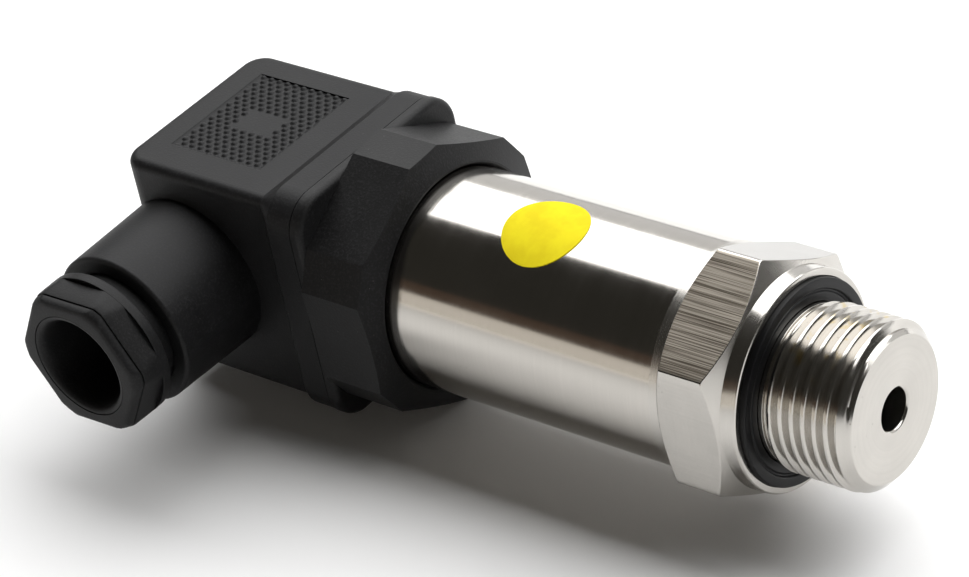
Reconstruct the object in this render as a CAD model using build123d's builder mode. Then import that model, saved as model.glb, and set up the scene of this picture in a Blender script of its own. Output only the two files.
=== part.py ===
from build123d import *
from math import atan, cos, degrees, radians, sin, tan
import os

# Industrial pressure sensor with a cable plug. Millimetres.
# X runs out of the thread, -Y out of the cable gland, +Z out of the plug's upper cheek.
# The origin is on the axis, in the sealing face of the collar.

# Threaded stud and its port
thread_d = 19.9
stud_length = 12.2
stud_lead = 1.35
stud_lead_length = 1.2
thread_start = 2.1
relief_d = 17.8
land_d = 18.6
land_length = 1.0
port_d = 5.0
port_mouth_d = 5.9

# Collar with the groove of the profile seal
collar_d = 26.1
collar_length = 1.9
collar_edge = 0.2
groove_lip = 0.9
groove_depth = 1.6
seal_clearance = 0.05
seal_proud = 0.7
seal_step = 0.45
seal_lip_share = 6 / 11
seal_edge = 0.3

# Spanner hexagon, its corners turned off
hex_flats = 27.0
hex_corner_d = 30.2
hex_length = 9.5
hex_front_angle = 30.0
hex_back_cone = 1.9

# Housing tube on the spigot of the fitting
tube_d = 27.0
tube_wall = 1.1
tube_length = 44.0
tube_clearance = 0.05
spigot_length = 5.6

# Ceramic cell, held on its seal by a screwed ring
cell_d = 18.0
cell_thickness = 6.3
cell_clearance = 0.2
cell_floor = -7.0
cell_edge = 0.3
cell_seal_mean_d = 12.2
cell_seal_groove_width = 2.1
cell_seal_groove_depth = 1.6
round_seal_clearance = 0.02
retainer_d = 20.0
retainer_bore = 13.0
retainer_thickness = 3.0
retainer_clearance = 0.07
spanner_slot = 1.6
spanner_slot_depth = 1.2

# Electronics
holder_thickness = 3.2
holder_bore = 10.0
holder_clearance = 0.1
board_width = 16.0
board_thickness = 1.6
board_slot_depth = 2.0
board_slot_clearance = 0.05
cell_pin_d = 0.6
cell_pin_pitch = 2.5
cell_pin_lap = 4.0
cell_pin_count = 4
chip_size = 7.0
chip_height = 1.1
chip_edge = 0.2
chip_x = -30.0
capacitor_length = 3.2
capacitor_width = 1.6
capacitor_height = 1.5
capacitor_pitch = 4.6
capacitor_count = 3
capacitor_x = -38.5
absorber_d = 7.0
absorber_height = 2.2
absorber_edge = 0.5
absorber_x = -43.0
end_board_lap = 0.8
end_board_thickness = 1.6
end_board_hole_clearance = 0.1

# Black socket base: hexagon with cut corners, square plate and contact blades
base_flats = 32.4
base_corner_flats = 34.4
base_turn = 2.6
base_front = -49.3
base_front_cone = 1.3
base_front_d = 28.4
base_corner_d = 34.9
base_hex_back = -59.2
base_lip = 0.3
base_bore_clearance = 0.15
base_core_clearance = 0.1
base_core_wall = 1.6
base_core_proud = 1.5
base_floor = 4.5
plate_thickness = 1.6
plate_y = 29.6
plate_z = 31.4
plate_corner = 4.5
plate_edge = 0.8
base_seal_section = 1.5
base_seal_inset = 1.85
bush_d = 5.0
bush_length = 6.0
bush_thread_clearance = 0.03
blade_width = 6.3
blade_thickness = 0.8
blade_pitch = 18.0
blade_reach = 9.5
blade_tip = 0.8
tail_width = 2.0
tail_proud = 0.5

# Cable plug
gasket_thickness = 1.0
gasket_compressed_gap = 0.2
gasket_y = 24.4
gasket_z = 25.2
gasket_corner = 2.0
gasket_clearance = 0.05
flange_length = 3.5
flange_inset = 0.1
flare_length = 2.0
flare_step = 0.15
plug_back_x = -89.4
plug_y = 26.0
plug_z = 29.0
plug_corner = 3.0
plug_edge = 1.2
plug_wall_y = 1.8
plug_wall_z = 2.4
plug_wall_back = 2.4
cheek_recess_length = 14.4
cheek_recess_width = 17.0
cheek_recess_x = -77.9
cheek_recess_y = 0.4
cheek_recess_depth = 0.4

# Cable boss with its female thread
boss_x = -80.9
boss_root_d = 20.8
boss_d = 20.2
boss_end_y = -26.2
boss_edge = 0.5
gland_thread_d = 16.0
gland_pitch = 1.5
gland_thread_clearance = 0.08
seal_seat_y = -13.2
cable_hole_d = 11.2

# Gland nut, pressure washer and cable seal
nut_gap = 2.3
nut_collar_length = 1.4
nut_turn = 1.5
nut_d = 19.4
nut_flats_back = 18.1
nut_flats_front = 17.3
nut_hex_length = 2.9
nut_groove_width = 0.25
nut_groove_depth = 0.3
nut_nose_length = 1.3
nut_nose_front_d = 18.4
nut_mouth_d = 13.3
nut_bore = 11.4
nut_mouth_depth = 1.8
nut_thread_length = 6.5
nut_edge = 0.2
washer_thickness = 0.8
washer_bore = 9.2
washer_clearance = 0.15
cable_seal_length = 6.0
cable_seal_bore = 7.6
cable_seal_clearance = 0.15

# Terminal insert inside the plug, with its socket contacts and wire clamps
insert_clearance = 0.2
insert_length = 15.5
insert_edge = 0.6
contact_width = 7.4
contact_thickness = 3.6
contact_inset = 0.5
contact_length = 13.0
contact_slot_clearance = 0.1
contact_slot_spare = 0.3
clamp_screw_d = 2.5
clamp_screw_length = 3.6
clamp_screw_head_d = 4.2
clamp_screw_head = 1.6
clamp_screw_clearance = 0.05
clamp_screw_offset = 1.9
wire_hole_d = 2.2

# Long centre screw from the back of the plug into the bush
screw_d = 3.0
screw_head_d = 5.6
screw_head = 2.0
screw_slot = 0.8
screw_slot_depth = 0.9
screw_tip = 0.3
screw_hole_clearance = 0.2
screw_engagement = 4.5
head_recess_d = 7.0
head_recess_depth = 3.9
column_d = 9.6
column_length = 5.5
screw_seal_thickness = 1.0
screw_seal_clearance = 0.1

# Round blank label on the tube
label_d = 10.6
label_thickness = 0.1
label_x = -32.0
label_angle = 100.2

# Places worked out from the sizes above
collar_back = -collar_length
groove_d = collar_d - 2 * groove_lip
hex_corner_x = collar_back - (hex_corner_d - collar_d) / 2 * tan(radians(hex_front_angle))
tube_front = collar_back - hex_length
tube_back = tube_front - tube_length
tube_bore = tube_d - 2 * tube_wall
spigot_d = tube_bore - 2 * tube_clearance
spigot_back = tube_front - spigot_length
cell_back = cell_floor - cell_thickness
retainer_back = cell_back - retainer_thickness
holder_back = spigot_back - holder_thickness
board_front = holder_back + board_slot_depth
base_core_d = tube_bore - 2 * base_core_clearance
base_core_bore = base_core_d - 2 * base_core_wall
base_core_front = tube_back + base_core_proud
end_board_d = base_core_bore + 2 * end_board_lap
end_board_back = base_core_front
board_back = end_board_back + end_board_thickness
plate_back = base_hex_back - plate_thickness
core_floor_x = plate_back + base_floor
base_bore_d = tube_d + 2 * base_bore_clearance
base_seal_front = base_front - base_seal_inset
bush_front = plate_back + bush_length
blade_back = plate_back - blade_reach
gasket_back = plate_back - gasket_thickness
flange_front = plate_back - gasket_compressed_gap
flange_back = flange_front - flange_length
flange_y = plate_y - 2 * flange_inset
flange_z = plate_z - 2 * flange_inset
flange_corner = plate_corner - flange_inset
insert_back = gasket_back - insert_length
contact_back = gasket_back - contact_length
cavity_back = plug_back_x + plug_wall_back
column_front = cavity_back + column_length
flare_back = flange_back - flare_length
tail_front = end_board_back + end_board_thickness + tail_proud
screw_seat_x = plug_back_x + head_recess_depth
head_front = screw_seat_x - screw_seal_thickness
screw_end = plate_back + screw_engagement
nut_collar_y = boss_end_y - nut_gap
nut_hex_y = nut_collar_y - nut_collar_length
nut_nose_y = nut_hex_y - nut_hex_length
nut_groove_y = nut_nose_y - nut_groove_width
nut_end_y = nut_nose_y - nut_nose_length
nut_inner_y = nut_collar_y + nut_thread_length
side_y = plug_y / 2
gland_bore_d = gland_thread_d + 2 * gland_thread_clearance
insert_y = plug_y - 2 * plug_wall_y - 2 * insert_clearance
insert_z = plug_z - 2 * plug_wall_z - 2 * insert_clearance
gland_axis = Axis((boss_x, 0, 0), (0, 1, 0))
nut_taper = degrees(atan((nut_flats_back - nut_flats_front) / 2 / nut_hex_length))

# Blade places round the centre screw, as turns about the axis; the last is the earth blade
blade_turns = [0, 90, 180, 270]

os.makedirs("parts", exist_ok=True)


def outline(*points):
    """A closed flat outline through the points, each a place along the axis and a radius."""
    with BuildSketch(Plane.XY) as flat:
        with BuildLine():
            Polyline(*points, close=True)
        make_face()
    return flat.sketch


def ring(front, back, outer_d, inner_d):
    """The outline of a plain ring about the X axis."""
    return outline((front, inner_d / 2), (front, outer_d / 2), (back, outer_d / 2), (back, inner_d / 2))


def gland_outline(*points):
    """A closed flat outline beside the gland's axis, each point a Y place and a radius."""
    return outline(*[(boss_x + radius, y) for y, radius in points])


def gland_ring(inner_y, outer_y, outer_d, bore):
    """The outline of a plain ring about the gland's axis."""
    return gland_outline(
        (inner_y, bore / 2),
        (inner_y, outer_d / 2),
        (outer_y, outer_d / 2),
        (outer_y, bore / 2),
    )


def screw_outline(seat_x, length, shank_d, head_height, head_d):
    """Half the section of a screw along X, its shank in front of the seat and its head behind."""
    return outline(
        (seat_x + length, 0),
        (seat_x + length, shank_d / 2 - screw_tip),
        (seat_x + length - screw_tip, shank_d / 2),
        (seat_x, shank_d / 2),
        (seat_x, head_d / 2),
        (seat_x - head_height, head_d / 2),
        (seat_x - head_height, 0),
    )


# Turned fitting: threaded stud, collar, hexagon and spigot in one piece.
# The thread stands at its crest diameter.
with BuildPart() as process_fitting:
    revolve(
        outline(
            (stud_length, port_mouth_d / 2),
            (stud_length, thread_d / 2 - stud_lead),
            (stud_length - stud_lead_length, thread_d / 2),
            (thread_start, thread_d / 2),
            (thread_start - (thread_d - relief_d) / 4, relief_d / 2),
            (land_length, relief_d / 2),
            (land_length, land_d / 2),
            (-groove_depth, land_d / 2),
            (-groove_depth, groove_d / 2),
            (0, groove_d / 2),
            (0, collar_d / 2 - collar_edge),
            (-collar_edge, collar_d / 2),
            (collar_back, collar_d / 2),
            (hex_corner_x, hex_corner_d / 2),
            (tube_front + hex_back_cone, hex_corner_d / 2),
            (tube_front, tube_d / 2),
            (tube_front, spigot_d / 2),
            (spigot_back, spigot_d / 2),
            (spigot_back, retainer_d / 2 + retainer_clearance),
            (cell_back, retainer_d / 2 + retainer_clearance),
            (cell_back, cell_d / 2 + cell_clearance),
            (cell_floor, cell_d / 2 + cell_clearance),
            (cell_floor, (cell_seal_mean_d + cell_seal_groove_width) / 2),
            (cell_floor + cell_seal_groove_depth, (cell_seal_mean_d + cell_seal_groove_width) / 2),
            (cell_floor + cell_seal_groove_depth, (cell_seal_mean_d - cell_seal_groove_width) / 2),
            (cell_floor, (cell_seal_mean_d - cell_seal_groove_width) / 2),
            (cell_floor, port_d / 2),
            (stud_length - (port_mouth_d - port_d) / 2, port_d / 2),
        ),
        axis=Axis.X,
    )
    with BuildSketch(Plane.YZ.offset(spigot_back)):
        RegularPolygon(hex_flats / 2, 6, major_radius=False, rotation=30)
    extrude(amount=stud_length - spigot_back, mode=Mode.INTERSECT)
process_fitting.part.label = "process_fitting"
export_step(process_fitting.part, "parts/process_fitting.step")

# Profile seal in the collar's groove: a raised outer lip and a lower inner ring.
with BuildPart() as seal_ring:
    seal_inner = land_d / 2 + seal_clearance
    seal_outer = groove_d / 2 - seal_clearance
    seal_lip = seal_outer - seal_lip_share * (seal_outer - seal_inner)
    revolve(
        outline(
            (-groove_depth, seal_inner),
            (-groove_depth, seal_outer),
            (seal_proud - seal_edge, seal_outer),
            (seal_proud, seal_outer - seal_edge),
            (seal_proud, seal_lip),
            (seal_proud - seal_step, seal_lip - seal_step / 2),
            (seal_proud - seal_step, seal_inner),
        ),
        axis=Axis.X,
    )
seal_ring.part.label = "seal_ring"
export_step(seal_ring.part, "parts/seal_ring.step")

with BuildPart() as cell_seal:
    section = cell_seal_groove_depth / 2
    with BuildSketch(Plane.XY):
        with Locations((cell_floor + section, cell_seal_mean_d / 2)):
            Circle(section - round_seal_clearance)
    revolve(axis=Axis.X)
cell_seal.part.label = "cell_seal"
export_step(cell_seal.part, "parts/cell_seal.step")

# Ceramic cell, its diaphragm towards the port.
with BuildPart() as sensing_cell:
    revolve(
        outline(
            (cell_floor, 0),
            (cell_floor, cell_d / 2 - cell_edge),
            (cell_floor - cell_edge, cell_d / 2),
            (cell_back + cell_edge, cell_d / 2),
            (cell_back, cell_d / 2 - cell_edge),
            (cell_back, 0),
        ),
        axis=Axis.X,
    )
sensing_cell.part.label = "sensing_cell"
export_step(sensing_cell.part, "parts/sensing_cell.step")

with BuildPart() as cell_retainer:
    revolve(ring(cell_back, retainer_back, retainer_d, retainer_bore), axis=Axis.X)
    with BuildSketch(Plane.YZ.offset(retainer_back)):
        Rectangle(retainer_d, spanner_slot)
    extrude(amount=spanner_slot_depth, mode=Mode.SUBTRACT)
cell_retainer.part.label = "cell_retainer"
export_step(cell_retainer.part, "parts/cell_retainer.step")

with BuildPart() as cell_pins:
    pin_y = (board_thickness + cell_pin_d) / 2
    with BuildSketch(Plane.YZ.offset(cell_back)):
        with Locations((pin_y, 0)):
            with GridLocations(0, cell_pin_pitch, 1, cell_pin_count):
                Circle(cell_pin_d / 2)
    extrude(amount=-(cell_back - board_front + cell_pin_lap))
cell_pins.part.label = "cell_pins"
export_step(cell_pins.part, "parts/cell_pins.step")

# Tube over the spigot, running into the socket base.
with BuildPart() as housing_tube:
    revolve(ring(tube_front, tube_back, tube_d, tube_bore), axis=Axis.X)
housing_tube.part.label = "housing_tube"
export_step(housing_tube.part, "parts/housing_tube.step")

# Moulded holder that seats on the spigot and grips the board's front end.
with BuildPart() as board_holder:
    revolve(ring(spigot_back, holder_back, tube_bore - 2 * holder_clearance, holder_bore), axis=Axis.X)
    with BuildSketch(Plane.YZ.offset(holder_back)):
        Rectangle(board_thickness + 2 * board_slot_clearance, board_width + 2 * board_slot_clearance)
    extrude(amount=board_slot_depth, mode=Mode.SUBTRACT)
board_holder.part.label = "board_holder"
export_step(board_holder.part, "parts/board_holder.step")

with BuildPart() as main_board:
    with BuildSketch(Plane.YZ.offset(board_back)):
        Rectangle(board_thickness, board_width)
    extrude(amount=board_front - board_back)
main_board.part.label = "main_board"
export_step(main_board.part, "parts/main_board.step")

with BuildPart() as amplifier_chip:
    with BuildSketch(Plane.XZ.offset(-board_thickness / 2)):
        with Locations((chip_x, 0)):
            Rectangle(chip_size, chip_size)
    extrude(amount=-chip_height)
    chamfer(amplifier_chip.faces().sort_by(Axis.Y)[-1].edges(), chip_edge)
amplifier_chip.part.label = "amplifier_chip"
export_step(amplifier_chip.part, "parts/amplifier_chip.step")

with BuildPart() as board_capacitors:
    with BuildSketch(Plane.XZ.offset(-board_thickness / 2)):
        with Locations((capacitor_x, 0)):
            with GridLocations(0, capacitor_pitch, 1, capacitor_count):
                Rectangle(capacitor_length, capacitor_width)
    extrude(amount=-capacitor_height)
board_capacitors.part.label = "board_capacitors"
export_step(board_capacitors.part, "parts/board_capacitors.step")

with BuildPart() as surge_absorber:
    with BuildSketch(Plane.XZ.offset(board_thickness / 2)):
        with Locations((absorber_x, 0)):
            Circle(absorber_d / 2)
    extrude(amount=absorber_height)
    fillet(surge_absorber.faces().sort_by(Axis.Y)[0].edges(), absorber_edge)
surge_absorber.part.label = "surge_absorber"
export_step(surge_absorber.part, "parts/surge_absorber.step")

# Round board that carries the tails of the contact blades.
with BuildPart() as end_board:
    with BuildSketch(Plane.YZ.offset(end_board_back)):
        Circle(end_board_d / 2)
        with PolarLocations(blade_pitch / 2, len(blade_turns)):
            Rectangle(
                blade_thickness + 2 * end_board_hole_clearance,
                tail_width + 2 * end_board_hole_clearance,
                mode=Mode.SUBTRACT,
            )
    extrude(amount=end_board_thickness)
end_board.part.label = "end_board"
export_step(end_board.part, "parts/end_board.step")

# Socket base: the tube enters the bore in front, the blades stand out behind.
with BuildPart() as socket_base:
    with BuildSketch(Plane.YZ.offset(plate_back)):
        RectangleRounded(plate_y, plate_z, plate_corner)
    extrude(amount=plate_thickness)
    fillet(socket_base.faces().sort_by(Axis.X)[-1].edges(), plate_edge)
    with BuildSketch(Plane.YZ.offset(base_hex_back)):
        RegularPolygon(base_flats / 2, 6, major_radius=False, rotation=30 + base_turn)
        RegularPolygon(
            base_corner_flats / 2, 6, major_radius=False, rotation=base_turn, mode=Mode.INTERSECT
        )
    extrude(amount=base_front - base_hex_back)
    revolve(
        outline(
            (plate_back, 0),
            (plate_back, base_corner_flats),
            (base_hex_back, base_corner_flats),
            (base_hex_back, base_corner_d / 2),
            (base_front - base_front_cone, base_corner_d / 2),
            (base_front, base_front_d / 2),
            (base_front, 0),
        ),
        axis=Axis.X,
        mode=Mode.INTERSECT,
    )
    revolve(
        outline(
            (base_front, 0),
            (base_front, base_bore_d / 2 + base_lip),
            (base_front - base_lip, base_bore_d / 2),
            (tube_back, base_bore_d / 2),
            (tube_back, base_core_d / 2),
            (base_core_front, base_core_d / 2),
            (base_core_front, base_core_bore / 2),
            (core_floor_x, base_core_bore / 2),
            (core_floor_x, 0),
        ),
        axis=Axis.X,
        mode=Mode.SUBTRACT,
    )
    revolve(
        ring(base_seal_front, base_seal_front - base_seal_section, tube_d + 2 * base_seal_section, tube_d),
        axis=Axis.X,
        mode=Mode.SUBTRACT,
    )
    with BuildSketch(Plane.YZ.offset(plate_back)):
        Circle(bush_d / 2)
        with PolarLocations(blade_pitch / 2, len(blade_turns)):
            Rectangle(blade_thickness, blade_width)
    extrude(amount=base_floor, mode=Mode.SUBTRACT)
socket_base.part.label = "socket_base"
export_step(socket_base.part, "parts/socket_base.step")

with BuildPart() as base_seal:
    with BuildSketch(Plane.XY):
        with Locations((base_seal_front - base_seal_section / 2, (tube_d + base_seal_section) / 2)):
            Circle(base_seal_section / 2 - round_seal_clearance)
    revolve(axis=Axis.X)
base_seal.part.label = "base_seal"
export_step(base_seal.part, "parts/base_seal.step")

# Threaded metal bush moulded into the base for the centre screw.
with BuildPart() as thread_bush:
    revolve(ring(bush_front, plate_back, bush_d, screw_d + 2 * bush_thread_clearance), axis=Axis.X)
thread_bush.part.label = "thread_bush"
export_step(thread_bush.part, "parts/thread_bush.step")

# One flat blade seen on its broad side: a bevelled tip, the wide blade and its narrow tail.
with BuildPart() as blade:
    with BuildSketch(Plane.XZ.offset(-(blade_pitch + blade_thickness) / 2)):
        with BuildLine():
            Polyline(
                (blade_back, blade_width / 2 - blade_tip),
                (blade_back + blade_tip, blade_width / 2),
                (core_floor_x, blade_width / 2),
                (core_floor_x, tail_width / 2),
                (tail_front, tail_width / 2),
                (tail_front, -tail_width / 2),
                (core_floor_x, -tail_width / 2),
                (core_floor_x, -blade_width / 2),
                (blade_back + blade_tip, -blade_width / 2),
                (blade_back, blade_tip - blade_width / 2),
                close=True,
            )
        make_face()
    extrude(amount=blade_thickness)

with BuildPart() as contact_blades:
    for turn in blade_turns[:-1]:
        add(blade.part.rotate(Axis.X, turn))
contact_blades.part.label = "contact_blades"
export_step(contact_blades.part, "parts/contact_blades.step")

with BuildPart() as earth_blade:
    add(blade.part.rotate(Axis.X, blade_turns[-1]))
earth_blade.part.label = "earth_blade"
export_step(earth_blade.part, "parts/earth_blade.step")

# Flat gasket between the plug's flange and the base's plate.
with BuildPart() as plug_gasket:
    with BuildSketch(Plane.YZ.offset(gasket_back)):
        RectangleRounded(gasket_y, gasket_z, gasket_corner)
        Circle(screw_d / 2 + screw_hole_clearance, mode=Mode.SUBTRACT)
        with PolarLocations(blade_pitch / 2, len(blade_turns)):
            Rectangle(
                blade_thickness + 2 * contact_slot_clearance,
                blade_width + 2 * contact_slot_clearance,
                mode=Mode.SUBTRACT,
            )
    extrude(amount=gasket_thickness)
plug_gasket.part.label = "plug_gasket"
export_step(plug_gasket.part, "parts/plug_gasket.step")

# Plug housing: a rounded box that flares into its flange, with a boss for the cable gland.
with BuildPart() as plug_housing:
    with BuildSketch(Plane.XY.offset(-plug_z / 2)):
        with Locations(((plug_back_x + flange_back) / 2, 0)):
            Rectangle(flange_back - plug_back_x, plug_y)
    extrude(amount=plug_z)
    fillet(plug_housing.edges().filter_by(Axis.Z).group_by(Axis.X)[0], plug_corner)
    fillet(plug_housing.edges().filter_by(Axis.X), plug_edge)
    with BuildSketch(Plane.YZ.offset(flare_back)):
        RectangleRounded(plug_y, plug_z, plug_edge)
    with BuildSketch(Plane.YZ.offset(flange_back)):
        RectangleRounded(flange_y - 2 * flare_step, flange_z - 2 * flare_step, flange_corner - flare_step)
    loft()
    with BuildSketch(Plane.YZ.offset(flange_back)):
        RectangleRounded(flange_y, flange_z, flange_corner)
    extrude(amount=flange_length)
    with BuildSketch(Plane.XZ.offset(side_y - plug_edge)):
        with Locations((boss_x, 0)):
            Circle(boss_root_d / 2)
    with BuildSketch(Plane.XZ.offset(-boss_end_y)):
        with Locations((boss_x, 0)):
            Circle(boss_d / 2)
    loft()
    fillet(plug_housing.faces().sort_by(Axis.Y)[0].edges(), boss_edge)

    with BuildSketch(Plane.YZ.offset(cavity_back)):
        Rectangle(plug_y - 2 * plug_wall_y, plug_z - 2 * plug_wall_z)
    extrude(amount=flange_front - cavity_back, mode=Mode.SUBTRACT)
    with BuildSketch(Plane.YZ.offset(gasket_back)):
        RectangleRounded(
            gasket_y + 2 * gasket_clearance, gasket_z + 2 * gasket_clearance, gasket_corner
        )
    extrude(amount=flange_front - gasket_back, mode=Mode.SUBTRACT)

    with BuildSketch(Plane.YZ.offset(cavity_back)):
        Circle(column_d / 2)
    extrude(amount=column_length)
    with BuildSketch(Plane.YZ.offset(plug_back_x)):
        Circle(head_recess_d / 2)
    extrude(amount=head_recess_depth, mode=Mode.SUBTRACT)
    with BuildSketch(Plane.YZ.offset(plug_back_x)):
        Circle(screw_d / 2 + screw_hole_clearance)
    extrude(amount=column_front - plug_back_x, mode=Mode.SUBTRACT)

    revolve(gland_ring(seal_seat_y, boss_end_y, gland_bore_d, 0), axis=gland_axis, mode=Mode.SUBTRACT)
    revolve(
        gland_ring(plug_wall_y - side_y, seal_seat_y, cable_hole_d, 0),
        axis=gland_axis,
        mode=Mode.SUBTRACT,
    )

    for cheek in (Plane.XY.offset(plug_z / 2), Plane.XY.offset(cheek_recess_depth - plug_z / 2)):
        with BuildSketch(cheek):
            with Locations((cheek_recess_x, cheek_recess_y)):
                Rectangle(cheek_recess_length, cheek_recess_width)
        extrude(amount=-cheek_recess_depth, mode=Mode.SUBTRACT)
plug_housing.part.label = "plug_housing"
export_step(plug_housing.part, "parts/plug_housing.step")

# Insert that carries the contacts: pockets in front, screwdriver and wire holes behind.
with BuildPart() as terminal_insert:
    with BuildSketch(Plane.YZ.offset(insert_back)):
        Rectangle(insert_y, insert_z)
    extrude(amount=insert_length)
    chamfer(terminal_insert.edges().filter_by(Axis.X), insert_edge)
    with BuildSketch(Plane.YZ.offset(insert_back)):
        Circle(screw_d / 2 + screw_hole_clearance)
    extrude(amount=insert_length, mode=Mode.SUBTRACT)
    with BuildSketch(Plane.YZ.offset(contact_back)):
        with PolarLocations(blade_pitch / 2 - contact_inset, len(blade_turns)):
            Rectangle(contact_thickness, contact_width)
    extrude(amount=contact_length, mode=Mode.SUBTRACT)
    with BuildSketch(Plane.YZ.offset(insert_back)):
        with PolarLocations(blade_pitch / 2 - contact_inset, len(blade_turns)):
            with Locations((0, clamp_screw_offset)):
                Circle(clamp_screw_head_d / 2 + clamp_screw_clearance)
            with Locations((0, -clamp_screw_offset)):
                Circle(wire_hole_d / 2)
    extrude(amount=contact_back - insert_back, mode=Mode.SUBTRACT)
terminal_insert.part.label = "terminal_insert"
export_step(terminal_insert.part, "parts/terminal_insert.step")

# One socket contact: a slot for the blade in front, screw and wire holes behind.
with BuildPart() as socket_contact:
    with BuildSketch(Plane.YZ.offset(contact_back)):
        with Locations((blade_pitch / 2 - contact_inset, 0)):
            Rectangle(contact_thickness, contact_width)
    extrude(amount=contact_length)
    with BuildSketch(Plane.YZ.offset(blade_back - contact_slot_spare)):
        with Locations((blade_pitch / 2, 0)):
            Rectangle(
                blade_thickness + 2 * contact_slot_clearance,
                blade_width + 2 * contact_slot_clearance,
            )
    extrude(amount=gasket_back - blade_back + contact_slot_spare, mode=Mode.SUBTRACT)
    with BuildSketch(Plane.YZ.offset(contact_back)):
        with Locations((blade_pitch / 2 - contact_inset, clamp_screw_offset)):
            Circle(clamp_screw_d / 2 + clamp_screw_clearance)
        with Locations((blade_pitch / 2 - contact_inset, -clamp_screw_offset)):
            Circle(wire_hole_d / 2)
    extrude(amount=clamp_screw_length, mode=Mode.SUBTRACT)

with BuildPart() as socket_contacts:
    for turn in blade_turns:
        add(socket_contact.part.rotate(Axis.X, turn))
socket_contacts.part.label = "socket_contacts"
export_step(socket_contacts.part, "parts/socket_contacts.step")

# One clamp screw, its head on the back of the contact.
with BuildPart() as clamp_screw:
    revolve(
        screw_outline(
            contact_back, clamp_screw_length, clamp_screw_d, clamp_screw_head, clamp_screw_head_d
        ),
        axis=Axis.X,
    )
    with BuildSketch(Plane.YZ.offset(contact_back - clamp_screw_head)):
        Rectangle(clamp_screw_head_d, screw_slot)
    extrude(amount=screw_slot_depth, mode=Mode.SUBTRACT)

with BuildPart() as clamp_screws:
    clamp_place = Location((0, blade_pitch / 2 - contact_inset, clamp_screw_offset))
    for turn in blade_turns:
        add(clamp_screw.part.moved(clamp_place).rotate(Axis.X, turn))
clamp_screws.part.label = "clamp_screws"
export_step(clamp_screws.part, "parts/clamp_screws.step")

with BuildPart() as centre_screw:
    revolve(
        screw_outline(head_front, screw_end - head_front, screw_d, screw_head, screw_head_d),
        axis=Axis.X,
    )
    with BuildSketch(Plane.YZ.offset(head_front - screw_head)):
        Rectangle(screw_slot, screw_head_d)
    extrude(amount=screw_slot_depth, mode=Mode.SUBTRACT)
centre_screw.part.label = "centre_screw"
export_step(centre_screw.part, "parts/centre_screw.step")

with BuildPart() as screw_seal:
    revolve(
        ring(
            screw_seat_x,
            head_front,
            head_recess_d - 2 * screw_seal_clearance,
            screw_d + 2 * screw_seal_clearance,
        ),
        axis=Axis.X,
    )
screw_seal.part.label = "screw_seal"
export_step(screw_seal.part, "parts/screw_seal.step")

# Gland: a rubber seal at the bottom of the bore, a pressure washer, then the hollow nut.
with BuildPart() as cable_seal:
    revolve(
        gland_ring(
            seal_seat_y,
            seal_seat_y - cable_seal_length,
            gland_bore_d - 2 * cable_seal_clearance,
            cable_seal_bore,
        ),
        axis=gland_axis,
    )
cable_seal.part.label = "cable_seal"
export_step(cable_seal.part, "parts/cable_seal.step")

with BuildPart() as gland_washer:
    revolve(
        gland_ring(
            nut_inner_y + washer_thickness,
            nut_inner_y,
            gland_bore_d - 2 * washer_clearance,
            washer_bore,
        ),
        axis=gland_axis,
    )
gland_washer.part.label = "gland_washer"
export_step(gland_washer.part, "parts/gland_washer.step")

# Gland nut: tapered flats behind a fine groove and the nose, threaded stub inside.
with BuildPart() as gland_nut:
    with BuildSketch(Plane.XZ.offset(-nut_hex_y)):
        with Locations((boss_x, 0)):
            RegularPolygon(nut_flats_back / 2, 6, major_radius=False, rotation=nut_turn)
    extrude(amount=nut_hex_length, taper=nut_taper)
    with BuildSketch(Plane.XZ.offset(-nut_nose_y)):
        with Locations((boss_x, 0)):
            RegularPolygon(
                nut_flats_front / 2 - nut_groove_depth, 6, major_radius=False, rotation=nut_turn
            )
    extrude(amount=nut_groove_width)
    with BuildSketch(Plane.XZ.offset(-nut_groove_y)):
        with Locations((boss_x, 0)):
            RegularPolygon(nut_flats_front / 2, 6, major_radius=False, rotation=nut_turn)
    extrude(amount=nut_groove_y - nut_end_y, taper=nut_taper)
    revolve(
        gland_outline(
            (nut_hex_y, 0),
            (nut_hex_y, nut_d / 2),
            (nut_nose_y, nut_d / 2),
            (nut_nose_y, nut_d / 2 - nut_groove_depth),
            (nut_groove_y, nut_d / 2 - nut_groove_depth),
            (nut_groove_y, nut_d / 2),
            (nut_end_y, nut_nose_front_d / 2),
            (nut_end_y, 0),
        ),
        axis=gland_axis,
        mode=Mode.INTERSECT,
    )
    revolve(
        gland_outline(
            (nut_inner_y, 0),
            (nut_inner_y, gland_thread_d / 2 - nut_edge),
            (nut_inner_y - nut_edge, gland_thread_d / 2),
            (nut_collar_y, gland_thread_d / 2),
            (nut_collar_y, nut_d / 2 - nut_edge),
            (nut_collar_y - nut_edge, nut_d / 2),
            (nut_hex_y, nut_d / 2),
            (nut_hex_y, 0),
        ),
        axis=gland_axis,
    )
    revolve(
        gland_outline(
            (nut_inner_y, 0),
            (nut_inner_y, nut_bore / 2),
            (nut_end_y + nut_mouth_depth, nut_bore / 2),
            (nut_end_y, nut_mouth_d / 2),
            (nut_end_y, 0),
        ),
        axis=gland_axis,
        mode=Mode.SUBTRACT,
    )
gland_nut.part.label = "gland_nut"
export_step(gland_nut.part, "parts/gland_nut.step")

# Round film label bent over the tube.
with BuildPart() as label:
    revolve(
        ring(label_x + label_d, label_x - label_d, tube_d + 2 * label_thickness, tube_d),
        axis=Axis.X,
    )
    outward = (0, cos(radians(label_angle)), sin(radians(label_angle)))
    with BuildSketch(Plane(origin=(label_x, 0, 0), x_dir=(1, 0, 0), z_dir=outward)):
        Circle(label_d / 2)
    extrude(amount=tube_d, mode=Mode.INTERSECT)
label.part.label = "label"
export_step(label.part, "parts/label.step")
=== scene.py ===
import math

import bmesh
import bpy
import numpy as np
from mathutils import Matrix, Vector


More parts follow.
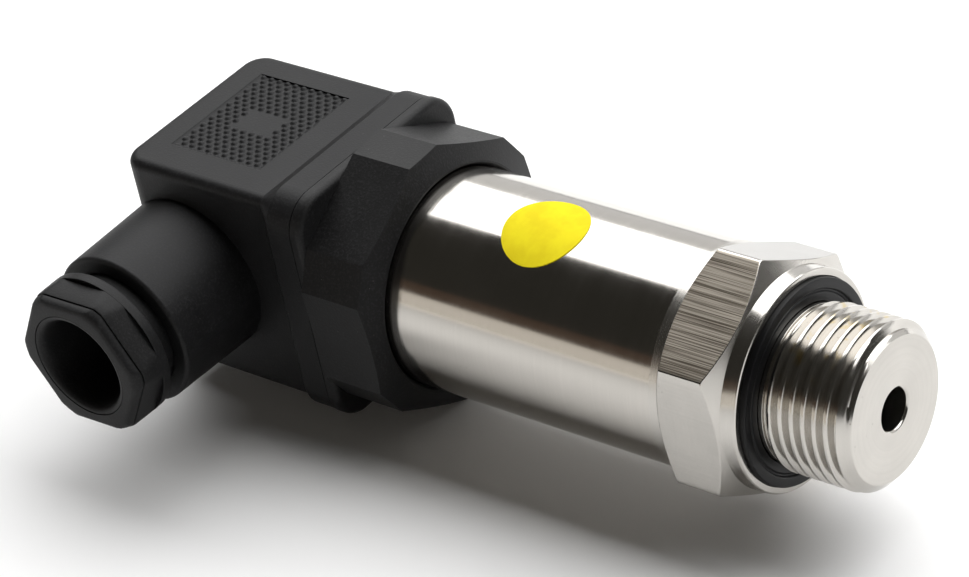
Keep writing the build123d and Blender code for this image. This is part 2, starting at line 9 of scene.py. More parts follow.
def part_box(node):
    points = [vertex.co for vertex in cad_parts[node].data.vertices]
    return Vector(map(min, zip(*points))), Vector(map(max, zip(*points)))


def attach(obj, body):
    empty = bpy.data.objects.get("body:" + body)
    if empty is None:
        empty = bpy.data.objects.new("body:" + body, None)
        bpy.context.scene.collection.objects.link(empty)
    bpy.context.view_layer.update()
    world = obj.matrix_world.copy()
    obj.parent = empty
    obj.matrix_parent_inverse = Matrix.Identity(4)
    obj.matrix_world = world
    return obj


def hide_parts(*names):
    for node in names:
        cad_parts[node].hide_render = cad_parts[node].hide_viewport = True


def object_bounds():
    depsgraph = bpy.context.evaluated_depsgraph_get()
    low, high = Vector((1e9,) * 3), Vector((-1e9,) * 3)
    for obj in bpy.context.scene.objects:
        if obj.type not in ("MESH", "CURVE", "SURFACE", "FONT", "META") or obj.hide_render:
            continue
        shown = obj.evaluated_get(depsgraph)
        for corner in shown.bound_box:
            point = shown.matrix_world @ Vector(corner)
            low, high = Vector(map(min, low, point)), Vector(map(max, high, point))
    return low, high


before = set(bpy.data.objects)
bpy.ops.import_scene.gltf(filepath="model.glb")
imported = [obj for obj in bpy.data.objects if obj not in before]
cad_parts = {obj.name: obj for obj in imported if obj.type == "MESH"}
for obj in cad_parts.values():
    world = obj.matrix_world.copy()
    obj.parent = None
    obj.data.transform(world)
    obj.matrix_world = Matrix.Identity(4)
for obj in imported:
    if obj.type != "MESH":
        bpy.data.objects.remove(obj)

cad_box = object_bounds()

# Sizes of the sensor in metres, as the frame holds them. The stud and its thread:
MM = 0.001
fitting_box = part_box("process_fitting")
stud_end = fitting_box[1][0]
stud_columns = 180
thread_crest = 9.93 * MM
thread_pitch = 1.5 * MM
thread_depth = 0.92 * MM
thread_start = 2.1 * MM
thread_run_out = 0.5 * MM
lead_length = 1.2 * MM
lead_radius = 8.58 * MM
relief_radius = 8.9 * MM
relief_back = 1.0 * MM
relief_seam = 1.2 * MM
port_radius = 2.5 * MM
port_shown = 7.0 * MM

# The seal's groove, the collar, the spanner hexagon and the tube behind it:
tube_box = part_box("housing_tube")
tube_front = tube_box[1][0]
tube_radius = tube_box[1][2]
groove_depth = 1.6 * MM
groove_inner = 9.3 * MM
groove_outer = 12.15 * MM
collar_radius = 13.05 * MM
collar_back = -1.9 * MM
spanner_apothem = 13.5 * MM
spanner_corner = 15.5 * MM
hexagon_back = tube_front + 1.25 * MM

# The gland and the recess in each cheek of the plug:
gland_x = -80.9 * MM
nut_turn = math.radians(1.5)
plug_top = 14.5 * MM
recess_middle = (-77.9 * MM, 0.4 * MM)
recess_size = (14.4 * MM, 17.0 * MM)
recess_depth = 0.4 * MM

# Camera of the photograph: its place, view direction and upward direction in the sensor's frame.
camera_place = (0.221496, -0.267812, 0.253181)
camera_forward = (-0.586776, 0.587601, -0.557153)
camera_up = (-0.238515, 0.532109, 0.812386)
focal_pixels = 3857.2
frame_width = 969
sensor_width = 36.0


def place_camera():
    """Puts the camera where the photograph was taken; forward, up and their cross product turn it."""
    data = bpy.data.cameras.new("photo_camera")
    data.sensor_width = sensor_width
    data.lens = focal_pixels / frame_width * sensor_width
    data.clip_start = 0.01
    data.clip_end = 10.0
    camera = bpy.data.objects.new("photo_camera", data)
    forward = Vector(camera_forward).normalized()
    up = Vector(camera_up)
    right = forward.cross(up).normalized()
    up = right.cross(forward)
    camera.matrix_world = Matrix((
        (right.x, up.x, -forward.x, camera_place[0]),
        (right.y, up.y, -forward.y, camera_place[1]),
        (right.z, up.z, -forward.z, camera_place[2]),
        (0, 0, 0, 1),
    ))
    bpy.context.scene.collection.objects.link(camera)
    bpy.context.scene.camera = camera


place_camera()


# Shader expressions
class Field:
    """A value that varies over a surface: wraps an output socket, and arithmetic adds Math nodes."""

    def __init__(self, finish, socket):
        self.finish = finish
        self.socket = socket

    def _math(self, operation, *values):
        return self.finish.node("ShaderNodeMath", {"operation": operation}, dict(enumerate(values)))

    def __add__(self, other):
        return self._math("ADD", self, other)

    def __radd__(self, other):
        return self._math("ADD", other, self)

    def __sub__(self, other):
        return self._math("SUBTRACT", self, other)

    def __rsub__(self, other):
        return self._math("SUBTRACT", other, self)

    def __mul__(self, other):
        return self._math("MULTIPLY", self, other)

    def __rmul__(self, other):
        return self._math("MULTIPLY", other, self)

    def abs(self):
        return self._math("ABSOLUTE", self)

    def sin(self):
        return self._math("SINE", self)

    def sqrt(self):
        return self._math("SQRT", self)

    def below(self, limit):
        return self._math("LESS_THAN", self, limit)

    def above(self, limit):
        return self._math("GREATER_THAN", self, limit)

    def largest(self, other):
        return self._math("MAXIMUM", self, other)

    def ramp(self, low, high, start=0.0, end=1.0):
        """A smooth step from start to end as the value goes from low to high."""
        settings = {"interpolation_type": "SMOOTHSTEP"}
        values = {"Value": self, "From Min": low, "From Max": high, "To Min": start, "To Max": end}
        return self.finish.node("ShaderNodeMapRange", settings, values)


class Finish:
    """A material with one Principled shader, and the nodes that feed it."""

    def __init__(self, name):
        self.material = bpy.data.materials.new(name)
        self.material.use_nodes = True
        self.tree = self.material.node_tree
        self.shader = self.tree.nodes["Principled BSDF"]

    def node(self, kind, settings=None, values=None, output=0):
        made = self.tree.nodes.new(kind)
        for key, value in (settings or {}).items():
            setattr(made, key, value)
        for key, value in (values or {}).items():
            self.feed(made.inputs[key], value)
        return Field(self, made.outputs[output])

    def feed(self, socket, value):
        if isinstance(value, Field):
            self.tree.links.new(value.socket, socket)
        elif isinstance(value, tuple) and len(value) == 3 and socket.type == "RGBA":
            socket.default_value = (*value, 1.0)
        else:
            socket.default_value = value

    def place(self):
        """The object's own coordinates as three fields, in metres."""
        whole = self.whole_place()
        split = self.tree.nodes.new("ShaderNodeSeparateXYZ")
        self.tree.links.new(whole.socket, split.inputs[0])
        return [Field(self, split.outputs[axis]) for axis in range(3)]

    def whole_place(self):
        return self.node("ShaderNodeTexCoord", output=3)

    def stretched(self, scale):
        """Object coordinates multiplied by a scale along each axis."""
        return self.node("ShaderNodeMapping", None, {"Vector": self.whole_place(), "Scale": scale})

    def noise(self, scale, detail, rough=0.5, stretch=(1.0, 1.0, 1.0), vector=None):
        """Noise whose cells are 1/scale metres wide, stretched along an axis by a small factor there."""
        where = vector or self.stretched(stretch)
        values = {"Vector": where, "Scale": scale, "Detail": detail, "Roughness": rough}
        return self.node("ShaderNodeTexNoise", None, values)

    def specks(self, scale, size):
        """Small round specks: 1 close to a cell's point, fading to 0 at size cells from it."""
        values = {"Vector": self.whole_place(), "Scale": scale}
        return self.node("ShaderNodeTexVoronoi", None, values).ramp(size, size * 0.6)

    def mix(self, factor, low, high):
        """A colour between low and high by the factor."""
        values = {0: factor, 6: low, 7: high}
        return self.node("ShaderNodeMix", {"data_type": "RGBA"}, values, output=2)

    def bump(self, height, distance, strength):
        values = {"Height": height, "Distance": distance, "Strength": strength}
        return self.node("ShaderNodeBump", None, values)

    def set(self, **sockets):
        names = {
            "colour": "Base Color",
            "rough": "Roughness",
            "metal": "Metallic",
            "normal": "Normal",
            "specular": "Specular IOR Level",
        }
        for key, value in sockets.items():
            self.feed(self.shader.inputs[names[key]], value)
        return self.material


def hexagon_flats(x, y, z):
    """Masks of the spanner hexagon: all its flats, the top one, and the upper one towards the camera.

    A point lies on a flat where the largest of its three products with the flats' directions is
    the apothem, within 0.03 mm. The last two masks are meant to be multiplied by the first, and
    each of them holds the opposite flat too.
    """
    cos_30 = math.cos(math.radians(30.0))
    near_flat = spanner_apothem - 0.03 * MM
    top = (z * cos_30 + y * 0.5).abs()
    upper = (z * cos_30 - y * 0.5).abs()
    largest = y.abs().largest(top).largest(upper)
    on_flat = largest.above(near_flat) * x.below(collar_back) * x.above(hexagon_back)
    return on_flat, top.above(near_flat), upper.above(near_flat)


def turned_steel(name, colour, rough, ring_scale, stain=0.12, drawn=False):
    """Machined stainless steel: fine rings about the axis, faint stains and tiny dark pits.

    The rings are noise that changes only along X and with the radius. With drawn, the flats of
    the hexagon carry lines along X instead: the upper one towards the camera is scored deepest
    and the top one has painted shade, a darker grey that dims its reflection of the light above.
    The thread then has faint yellow stains on its top.
    """
    finish = Finish(name)
    x, y, z = finish.place()
    radius = (y * y + z * z).sqrt()
    across = finish.node("ShaderNodeCombineXYZ", None, {"X": x, "Y": radius, "Z": 0.0})
    rings = finish.noise(ring_scale, 2.0, 0.6, vector=across)
    fine = finish.noise(ring_scale * 4, 2.0, 0.6, vector=across)
    cloud = finish.noise(180.0, 3.0, 0.6)
    pits = finish.specks(900.0, 0.09) * finish.noise(120.0, 1.0).ramp(0.55, 0.65)
    shade = rings * 0.08 + fine * 0.05 + cloud * stain
    height = rings * 0.5 + fine * 0.5
    relief = 0.000010
    roughness = rings * 0.08 + cloud * 0.12 + (rough - 0.10)
    if drawn:
        on_flat, top, upper = hexagon_flats(x, y, z)
        lines = finish.noise(9000.0, 2.0, 0.7, stretch=(0.006, 1.0, 1.0))
        coarse = finish.noise(800.0, 1.0, 0.6, stretch=(0.04, 1.0, 1.0))
        brush = on_flat * (upper * 0.8 + 0.2)
        height = height * (1.0 - on_flat) * 0.3 + (lines + coarse) * on_flat * 0.3
        relief = 0.000012
        shade = shade + (lines - 0.5) * brush * 0.5
        cone = x.below(collar_back) * (1.0 - on_flat)
        roughness = roughness + brush * 0.05 + on_flat * upper * 0.22 + cone * 0.08
    dark = tuple(c * 0.72 for c in colour)
    base = finish.mix(shade.ramp(0.04, 0.30), dark, colour)
    base = finish.mix(pits * 0.6, base, (0.08, 0.07, 0.05))
    if drawn:
        score_dark = (0.13, 0.11, 0.085)
        score_pale = (0.58, 0.525, 0.45)
        painted_shade_grey = (0.25, 0.24, 0.225)
        stain_yellow = (0.50, 0.38, 0.13)
        scored = finish.mix(lines.ramp(0.38, 0.62), score_dark, score_pale)
        base = finish.mix(on_flat * upper, base, scored)
        # Painted shade: the top flat, and the one opposite it, get a darker grey that dims the top
        # flat's reflection of the light above.
        base = finish.mix(on_flat * top * 0.75, base, painted_shade_grey)
        stained = finish.noise(520.0, 2.0).ramp(0.56, 0.68) * x.above(2.5 * MM) * x.below(9.5 * MM)
        base = finish.mix(stained * z.ramp(4.0 * MM, 8.0 * MM, 0.0, 0.5), base, stain_yellow)
    return finish.set(
        colour=base,
        metal=1.0,
        rough=roughness.largest(0.06),
        normal=finish.bump(height, relief, 0.5),
    )


def moulded_plastic(name, colour, rough):
    """Glass-filled moulding: a fine spark-eroded grain, pale rubs and a little dust."""
    finish = Finish(name)
    grains = finish.noise(3600.0, 2.0, 0.55)
    cloud = finish.noise(140.0, 3.0, 0.6)
    dust = finish.specks(600.0, 0.045) * finish.noise(90.0, 2.0).ramp(0.54, 0.6)
    pale = tuple(min(1.0, c * 1.7 + 0.004) for c in colour)
    base = finish.mix(cloud.ramp(0.35, 0.75, 0.0, 0.4), colour, pale)
    base = finish.mix(grains.ramp(0.45, 0.75, 0.0, 0.55), base, tuple(c * 1.7 for c in pale))
    base = finish.mix(dust * 0.4, base, (0.2, 0.19, 0.18))
    return finish.set(
        colour=base,
        rough=cloud * 0.12 + grains * 0.24 + (rough - 0.18),
        specular=0.20,
        normal=finish.bump(grains, 0.00003, 0.8),
    )


def smooth_rubber(name, colour, rough):
    """Moulded rubber: even, slightly shiny, with a faint bloom and a fine grain."""
    finish = Finish(name)
    bloom = finish.noise(260.0, 4.0, 0.6)
    fine = finish.noise(2400.0, 2.0, 0.5)
    base = finish.mix(bloom.ramp(0.45, 0.8, 0.0, 0.3), colour, tuple(c * 2.0 + 0.008 for c in colour))
    return finish.set(
        colour=base,
        rough=bloom * 0.2 + (rough - 0.1),
        specular=0.2,
        normal=finish.bump(fine, 0.00001, 0.3),
    )


def plain_finish(name, colour, rough, metal=0.0, variation=0.25):
    """A plain piece: its colour varies by cloudy noise and its surface by a fine grain."""
    finish = Finish(name)
    cloud = finish.noise(220.0, 3.0, 0.6)
    fine = finish.noise(1500.0, 2.0, 0.5)
    dark = tuple(c * (1.0 - variation) for c in colour)
    return finish.set(
        colour=finish.mix(cloud.ramp(0.3, 0.7), dark, colour),
        metal=metal,
        rough=cloud * 0.12 + fine * 0.08 + (rough - 0.1),
        normal=finish.bump(fine, 0.00001, 0.4),
    )


def board_finish(name, colour):
    """Circuit board: solder mask with copper tracks that show through as paler lines."""
    finish = Finish(name)
    x, y, z = finish.place()
    waves = finish.noise(90.0, 0.0)
    lines = ((z * 3900.0 + waves * 6.0).sin().above(0.72)) * (x * 900.0).sin().above(-0.4)
    cloud = finish.noise(400.0, 2.0)
    base = finish.mix(lines * 0.7, colour, tuple(min(1.0, c * 2.4) for c in colour))
    base = finish.mix(cloud * 0.2, base, tuple(c * 0.5 for c in colour))
    return finish.set(colour=base, rough=cloud * 0.1 + 0.3, normal=finish.bump(lines, 0.00004, 0.6))


def label_finish(name):
    """Yellow film: a nearly even colour and a faint orange-peel surface."""
    finish = Finish(name)
    cloud = finish.noise(300.0, 3.0, 0.6)
    peel = finish.noise(1500.0, 2.0, 0.5)
    base = finish.mix(cloud.ramp(0.3, 0.7), (0.74, 0.60, 0.012), (0.82, 0.70, 0.016))
    return finish.set(
        colour=base,
        rough=cloud * 0.15 + 0.62,
        specular=0.06,
        normal=finish.bump(peel, 0.00001, 0.4),
    )


steel = turned_steel("satin_turned_steel", (0.64, 0.615, 0.575), 0.17, 5200.0, drawn=True)
tube_steel = turned_steel("satin_tube_steel", (0.66, 0.63, 0.585), 0.13, 2600.0, stain=0.05)
seal_rubber = smooth_rubber("seal_rubber", (0.004, 0.004, 0.0046), 0.42)
gasket_rubber = smooth_rubber("gasket_rubber", (0.014, 0.014, 0.014), 0.55)
base_plastic = moulded_plastic("base_moulding", (0.006, 0.006, 0.0063), 0.50)
plug_plastic = moulded_plastic("plug_moulding", (0.006, 0.006, 0.0065), 0.53)
nut_plastic = moulded_plastic("nut_moulding", (0.006, 0.006, 0.0064), 0.54)

finishes = {
    "cell_seal": seal_rubber,
    "sensing_cell": plain_finish("cell_ceramic", (0.82, 0.81, 0.77), 0.25, variation=0.08),
    "cell_retainer": plain_finish("retainer_steel", (0.52, 0.51, 0.49), 0.35, 1.0),
    "cell_pins": plain_finish("gilt_pin", (0.83, 0.62, 0.28), 0.25, 1.0),
    "housing_tube": tube_steel,
    "board_holder": plain_finish("holder_plastic", (0.7, 0.68, 0.62), 0.5),
    "main_board": board_finish("board_mask", (0.02, 0.13, 0.05)),
    "amplifier_chip": plain_finish("chip_moulding", (0.025, 0.025, 0.026), 0.5),
    "board_capacitors": plain_finish("capacitor_ceramic", (0.45, 0.32, 0.18), 0.45),
    "surge_absorber": plain_finish("absorber_coat", (0.04, 0.13, 0.42), 0.28),
    "end_board": board_finish("end_board_mask", (0.02, 0.12, 0.05)),
    "socket_base": base_plastic,
    "base_seal": seal_rubber,
    "thread_bush": plain_finish("bush_brass", (0.68, 0.49, 0.22), 0.32, 1.0),
    "contact_blades": plain_finish("tinned_blade", (0.70, 0.68, 0.64), 0.3, 1.0),
    "earth_blade": plain_finish("tinned_earth_blade", (0.69, 0.67, 0.62), 0.32, 1.0),
    "plug_gasket": gasket_rubber,
    "plug_housing": plug_plastic,
    "terminal_insert": moulded_plastic("insert_moulding", (0.12, 0.12, 0.12), 0.5),
    "socket_contacts": plain_finish("contact_brass", (0.66, 0.62, 0.52), 0.3, 1.0),
    "clamp_screws": plain_finish("clamp_screw_zinc", (0.66, 0.66, 0.63), 0.3, 1.0),
    "centre_screw": plain_finish("centre_screw_zinc", (0.64, 0.64, 0.62), 0.32, 1.0),
    "screw_seal": gasket_rubber,
    "cable_seal": seal_rubber,
    "gland_washer": plain_finish("washer_zinc", (0.62, 0.62, 0.6), 0.34, 1.0),
    "label": label_finish("yellow_label_film"),
}


# Surfaces worked out on grids
def grid_mesh(name, points, close_round=True, shift=0):
    """A mesh from an array of points[row][column]; rows join their neighbours by four-sided faces.

    With close_round the last column joins the first, shift rows further on. A face points to the
    side of (step to the next column) x (step to the next row).
    """
    rows, columns, _ = points.shape
    index = np.arange(rows * columns).reshape(rows, columns)
    a = index[:-1, :-1]
    b = index[1:, :-1]
    c = index[1:, 1:]
    d = index[:-1, 1:]
    quads = [np.stack([a, d, c, b], axis=-1).reshape(-1, 4)]
    if close_round:
        last = index[: rows - 1 - shift, -1]
        last_next = index[1 : rows - shift, -1]
        first = index[shift : rows - 1, 0]
        first_next = index[shift + 1 :, 0]
        quads.append(np.stack([last, first, first_next, last_next], axis=-1))
    faces = [tuple(int(v) for v in face) for face in np.concatenate(quads)]
    mesh = bpy.data.meshes.new(name)
    mesh.from_pydata(points.reshape(-1, 3).tolist(), [], faces)
    mesh.validate()
    mesh.update()
    return mesh


def piece(name, mesh, material, body, angle):
    """An object for a mesh: smooth, with edges sharper than the angle kept crisp, riding on a body."""
    made = bpy.data.objects.new(name, mesh)
    bpy.context.scene.collection.objects.link(made)
    mesh.shade_smooth()
    mesh.set_sharp_from_angle(angle=math.radians(angle))
    mesh.materials.append(material)
    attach(made, body)
    return made


def full_turn(columns):
    """The angles of a full turn in equal steps, the last one short of 2 pi."""
    return np.linspace(0.0, 2 * np.pi, columns, endpoint=False)


def off_flat(turn, middle):
    """How far each angle is from the middle of the nearest of six flats, one of them at middle."""
    sixth = np.pi / 3
    return np.abs(np.mod(turn - middle + sixth / 2, sixth) - sixth / 2)


def row_grids(rows, turn):
    """Rows of (place along the axis, radius) as two grids; each is one number or one for each angle."""
    return [np.stack([row[part] + 0.0 * turn for row in rows]) for part in range(2)]


def turned(rows, columns):
    """Rows of (x, radius) turned about the X axis: y = r cos t, z = r sin t.

    Along an outer surface the rows run towards +X, so that its faces point outwards.
    """
    turn = full_turn(columns)
    x, r = row_grids(rows, turn)
    return np.stack([x, r * np.cos(turn), r * np.sin(turn)], axis=-1)


def rounded(corners, reach, steps=3):
    """An open outline, each inner corner of it replaced by a quadratic curve of steps + 1 points.

    The curve leaves both sides at reach from the corner, or at 0.45 of the shorter side if less.
    """
    corners = [np.asarray(c, float) for c in corners]
    out = [tuple(corners[0])]
    for before, corner, after in zip(corners, corners[1:], corners[2:]):
        u = before - corner
        v = after - corner
        lu = np.linalg.norm(u)
        lv = np.linalg.norm(v)
        u = u / lu
        v = v / lv
        cut = min(reach, 0.45 * lu, 0.45 * lv)
        p = corner + u * cut
        q = corner + v * cut
        for step in range(steps + 1):
            s = step / steps
            out.append(tuple((1 - s) ** 2 * p + 2 * s * (1 - s) * corner + s**2 * q))
    out.append(tuple(corners[-1]))
    return out


def threaded_stud():
    """The stud's thread as a helical surface.

    Row i of the grid lies at t = i * pitch / 12 and column j at the angle a; the point is at
    x = t + pitch * a / 2 pi, so a row follows the helix. Its radius is the crest less the depth of
    a V profile with flat crests and roots, cut by the run-out to the relief and the lead chamfer.
    """
    per_pitch = 12
    low = relief_seam
    high = stud_end
    first = int(math.floor((low - thread_pitch) / thread_pitch * per_pitch))
    count = int(math.ceil((high - low + 2 * thread_pitch) / thread_pitch * per_pitch)) + per_pitch
    row = np.arange(first, first + count)
    turn = full_turn(stud_columns)
    flank_phase = [0.0, 0.10, 0.42, 0.58, 0.90, 1.0]
    flank_depth = [0.0, 0.0, 1.0, 1.0, 0.0, 0.0]
    shape = np.interp((row % per_pitch) / per_pitch, flank_phase, flank_depth)
    x = row[:, None] * thread_pitch / per_pitch + thread_pitch * turn[None, :] / (2 * np.pi)
    x = np.clip(x, low, high)
    radius = thread_crest - thread_depth * shape[:, None] * np.ones_like(x)
    lead = np.interp(x, [high - lead_length, high], [thread_crest, lead_radius])
    run_out = np.interp(x, [thread_start - thread_run_out, thread_start], [relief_radius, thread_crest])
    radius = np.minimum(np.minimum(radius, lead), run_out)
    points = np.stack([x, radius * np.cos(turn), radius * np.sin(turn)], axis=-1)
    return grid_mesh("stud_thread", points, shift=per_pitch)


def stud_face():
    """The end face and the port with its chamfer, as one profile turned about X."""
    profile = rounded(
        [
            (stud_end, lead_radius),
            (stud_end, port_radius + 0.24 * MM),
            (stud_end - 0.22 * MM, port_radius),
            (-port_shown, port_radius),
        ],
        0.06 * MM,
    )
    return grid_mesh("stud_face", turned(profile, stud_columns))


def relief_floor():
    """The seal groove's back and floor, and the relief up to the thread, as a profile turned about X."""
    profile = rounded(
        [
            (-groove_depth, groove_outer),
            (-groove_depth, groove_inner),
            (relief_back, groove_inner),
            (relief_back, relief_radius),
            (relief_seam, relief_radius),
        ],
        0.08 * MM,
    )
    return grid_mesh("stud_relief", turned(profile, stud_columns))


def spanner_section():
    """The cone up from the tube, the hexagon, the collar and the groove's outer wall.

    Each column is one angle: the back cone rises from a short cylinder as wide as the tube until
    it meets the flat or the turned corner, whichever is nearer the axis, and the front cone falls
    from it to the collar, so the curved edges of the flats lie on the rows. The edges of the
    hexagon, the collar and the groove are softened by narrow bevels.
    """
    columns = 360
    flat = spanner_apothem / np.cos(off_flat(full_turn(columns), 0.0))
    outer = np.minimum(flat, spanner_corner)
    front = collar_back - (outer - collar_radius) * math.tan(math.radians(30.0))
    back_slope = 0.575
    back = hexagon_back + (outer - tube_radius) * back_slope
    soft = 0.09 * MM
    lip = 1.2 * MM
    rows = [
        (tube_front, tube_radius - lip),
        (tube_front, tube_radius),
        (hexagon_back, tube_radius),
        (back - soft * 0.75, outer - soft * 0.64),
        (back + soft * 0.4, outer),
        (front - soft, outer),
        (front + soft * 0.5, outer - soft * 0.87),
        (collar_back - 0.04 * MM, collar_radius + 0.04 * MM),
        (collar_back + 0.10 * MM, collar_radius),
        (-0.22 * MM, collar_radius),
        (-0.07 * MM, collar_radius - 0.07 * MM),
        (0.0, collar_radius - 0.22 * MM),
        (0.0, groove_outer + 0.06 * MM),
        (-0.06 * MM, groove_outer),
        (-groove_depth, groove_outer),
    ]
    return grid_mesh("spanner_hexagon", turned(rows, columns))


def join(name, meshes):
    """One mesh from several, their double points merged."""
    whole = bmesh.new()
    for mesh in meshes:
        whole.from_mesh(mesh)
        bpy.data.meshes.remove(mesh)
    bmesh.ops.remove_doubles(whole, verts=whole.verts, dist=1e-7)
    joined = bpy.data.meshes.new(name)
    whole.to_mesh(joined)
    whole.free()
    return joined


stud_mesh = join("stud_with_thread", [threaded_stud(), stud_face(), relief_floor()])
stud = piece("stud_with_thread", stud_mesh, steel, "sensor", 35.0)
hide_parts("process_fitting")
hexagon = piece("spanner_hexagon", spanner_section(), steel, "sensor", 20.0)
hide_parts("process_fitting")


def profile_seal():
    """The seal ring: a rounded outer lip, a fine groove and a lower inner ring, turned about X."""
    back = 0.05 * MM - groove_depth
    outer = groove_outer - 0.05 * MM
    inner = groove_inner + 0.06 * MM
    profile = rounded(
        [
            (back, outer),
            (0.66 * MM, outer),
            (0.70 * MM, 10.9 * MM),
            (0.30 * MM, 10.75 * MM),
            (0.30 * MM, 10.55 * MM),
            (0.48 * MM, 10.4 * MM),
            (0.42 * MM, inner),
            (back, inner),
            (back, outer),
        ],
        0.16 * MM,
        4,
    )
    return grid_mesh("profile_seal", turned(profile, 192))


seal = piece("profile_seal", profile_seal(), seal_rubber, "sensor", 40.0)
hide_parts("seal_ring")


def soft_least(a, b, softness):
    """The smaller of two lengths with the corner between them rounded off."""
    return 0.5 * (a + b - np.sqrt((a - b) ** 2 + softness**2))


def hollow_nut():
    """The gland nut about its own axis: x = gland_x + r cos t, z = r sin t.

    A row is a place along Y and a radius, in mm. In the hexagon the radius is the soft least of
    the corner's and the flat's, which is the apothem over the cosine of the angle off its middle.
    Where the flats are cut into the collar their foot runs back under it by half the cut's depth,
    so a dark crescent shows.
    """
    turn = full_turn(360)
    to_flat = 1.0 / np.cos(off_flat(turn, nut_turn + np.pi / 6))

    def hexagon(apothem, corner):
        return soft_least(apothem * to_flat, corner, 0.05)

    inner_end = -22.0
    bore = 5.75
    corner = 9.67
    flats = hexagon(9.02, corner)
    foot = -29.90 + 0.5 * (corner - flats)
    rows = [
        (inner_end, bore),
        (inner_end, 7.9),
        (-28.50, 7.95),
        (-28.50, 9.40),
        (-28.56, 9.56),
        (-28.72, 9.66),
        (-29.66, 9.68),
        (-29.86, 9.67),
        (-29.90, 9.63),
        (foot, flats),
        (-30.00, flats),
        (-31.40, hexagon(8.84, corner)),
        (-32.60, hexagon(8.68, 9.66)),
        (-32.76, hexagon(8.65, 9.62) - 0.03),
        (-32.80, hexagon(8.64, 9.60) - 0.24),
        (-32.98, hexagon(8.62, 9.56) - 0.24),
        (-33.02, hexagon(8.60, 9.52) - 0.03),
        (-33.25, hexagon(8.58, 9.44) - 0.02),
        (-33.66, hexagon(8.52, 9.28) - 0.06),
        (-33.90, hexagon(8.46, 9.12) - 0.16),
        (-34.04, hexagon(8.38, 8.96) - 0.34),
        (-34.09, hexagon(8.30, 8.82) - 0.54),
        (-34.09, 6.96),
        (-33.96, 6.91),
        (-34.03, 6.82),
        (-34.00, 6.60),
        (-33.86, 6.34),
        (-33.50, 6.08),
        (-33.00, 5.92),
        (-32.30, 5.78),
        (inner_end, bore),
    ]
    y, r = row_grids(rows, turn)
    points = np.stack([gland_x + r * MM * np.cos(turn), y * MM, r * MM * np.sin(turn)], axis=-1)
    return grid_mesh("hollow_nut", points)


nut = piece("hollow_nut", hollow_nut(), nut_plastic, "gland_nut", 26.0)
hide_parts("gland_nut")


def cheek_dots(side):
    """The dotted floor of a cheek's recess as one height field, side 1 above and -1 below.

    The dots stand on a centred lattice with cells pitch_x by pitch_y; a dot's height falls as
    1 - (distance / reach)^2, and a plain pad without dots stays in the middle. The floor rises
    to the rim as a square over the last 0.7 mm on three sides; the one away from the gland is a step.
    """
    step = 0.10 * MM
    pitch_x = 1.32 * MM
    pitch_y = 1.64 * MM
    reach = 0.46 * MM
    dot_height = 0.27 * MM
    margin = 0.2 * MM
    rim = 0.7 * MM
    half_x = recess_size[0] / 2 - 0.02 * MM
    half_y = recess_size[1] / 2 - 0.02 * MM
    x = np.linspace(-half_x, half_x, int(2 * half_x / step))[:, None]
    y = np.linspace(-half_y, half_y, int(2 * half_y / step))[None, :]
    height = np.zeros((x.size, y.size))
    for shift in (0.0, 0.5):
        dot_x = (np.round(x / pitch_x - shift) + shift) * pitch_x
        dot_y = (np.round(y / pitch_y - shift) + shift) * pitch_y
        inside = (np.abs(dot_x) < half_x - margin) & (np.abs(dot_y) < half_y - margin)
        blank = (np.abs(dot_x) < 3.0 * MM) & (np.abs(dot_y) < 2.0 * MM)
        dome = dot_height * np.clip(1.0 - ((x - dot_x) ** 2 + (y - dot_y) ** 2) / reach**2, 0.0, 1.0)
        height = np.maximum(height, np.where(inside & ~blank, dome, 0.0))
    edge = np.minimum(half_x - np.abs(x) + 0.0 * y, half_y + y + 0.0 * x)
    floor = recess_depth - 0.13 * MM
    rise = np.clip(1.0 - edge / rim, 0.0, 1.0) ** 2 * (floor - 0.02 * MM)
    level = side * (plug_top - floor + np.maximum(height, rise))
    points = np.stack([x + recess_middle[0] + 0.0 * y, y + recess_middle[1] + 0.0 * x, level], axis=-1)
    return grid_mesh("cheek_dots", points[::-side], close_round=False)


for side, name in ((1, "upper_cheek_dots"), (-1, "lower_cheek_dots")):
    dots = piece(name, cheek_dots(side), plug_plastic, "sensor", 60.0)

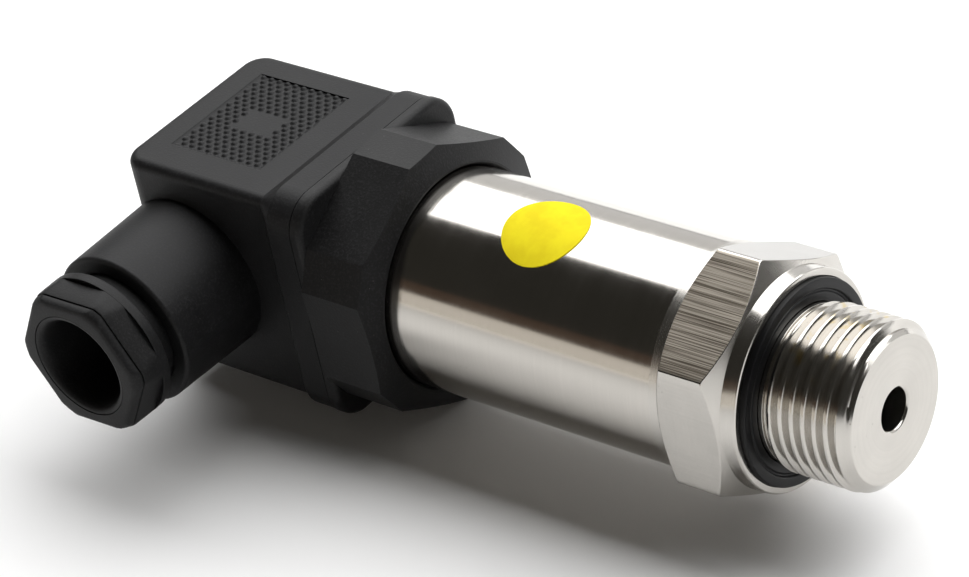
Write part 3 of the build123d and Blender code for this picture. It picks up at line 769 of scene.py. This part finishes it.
for node, material in finishes.items():
    part = bpy.data.objects[node]
    part.data.materials.clear()
    part.data.materials.append(material)


# Floor, light and air
def stage_floor():
    """A wide pale floor under the lowest point of the sensor."""
    low = cad_box[0][2] - 0.2 * MM
    half = 3.0
    mesh = bpy.data.meshes.new("floor")
    corners = [(-half, -half, low), (half, -half, low), (half, half, low), (-half, half, low)]
    mesh.from_pydata(corners, [], [(0, 1, 2, 3)])
    floor = bpy.data.objects.new("floor", mesh)
    bpy.context.scene.collection.objects.link(floor)
    finish = Finish("pale_floor")
    mesh.materials.append(finish.set(colour=(0.95, 0.95, 0.95), rough=0.9, specular=0.1))


def softbox(name, place, target, size, watts, colour=(1.0, 1.0, 1.0)):
    """A rectangular soft light at a place, turned to face the target."""
    data = bpy.data.lights.new(name, "AREA")
    data.shape = "RECTANGLE"
    data.size, data.size_y = size
    data.energy = watts
    data.color = colour
    light = bpy.data.objects.new(name, data)
    light.location = place
    aim = Vector(target) - Vector(place)
    light.rotation_euler = aim.to_track_quat("-Z", "Y").to_euler()
    bpy.context.scene.collection.objects.link(light)


def weak_air():
    """Weak warm light from all sides."""
    world = bpy.data.worlds.new("studio")
    world.use_nodes = True
    background = world.node_tree.nodes["Background"]
    background.inputs["Color"].default_value = (1.0, 0.95, 0.82, 1.0)
    background.inputs["Strength"].default_value = 0.035
    bpy.context.scene.world = world


# The two narrow cards in front are mirrored as the tube's beige and brown stripes.
stage_floor()
weak_air()
softbox("window_above", (-0.05, 0.72, 0.80), (-0.05, 0.72, 0.0), (2.6, 1.32), 40.0)
softbox("back_card", (-0.2, 1.60, 0.48), (-0.2, 0.0, 0.48), (3.2, 0.88), 8.0)
softbox("front_card", (-0.40, -0.50, 0.034), (-0.40, 0.0, 0.034), (1.4, 0.16), 0.62, (1.0, 0.94, 0.85))
softbox("brown_card", (-0.50, -0.70, 0.235), (-0.50, 0.0, 0.235), (1.6, 0.14), 0.04, (1.0, 0.50, 0.27))
bpy.context.scene.view_settings.view_transform = "Standard"
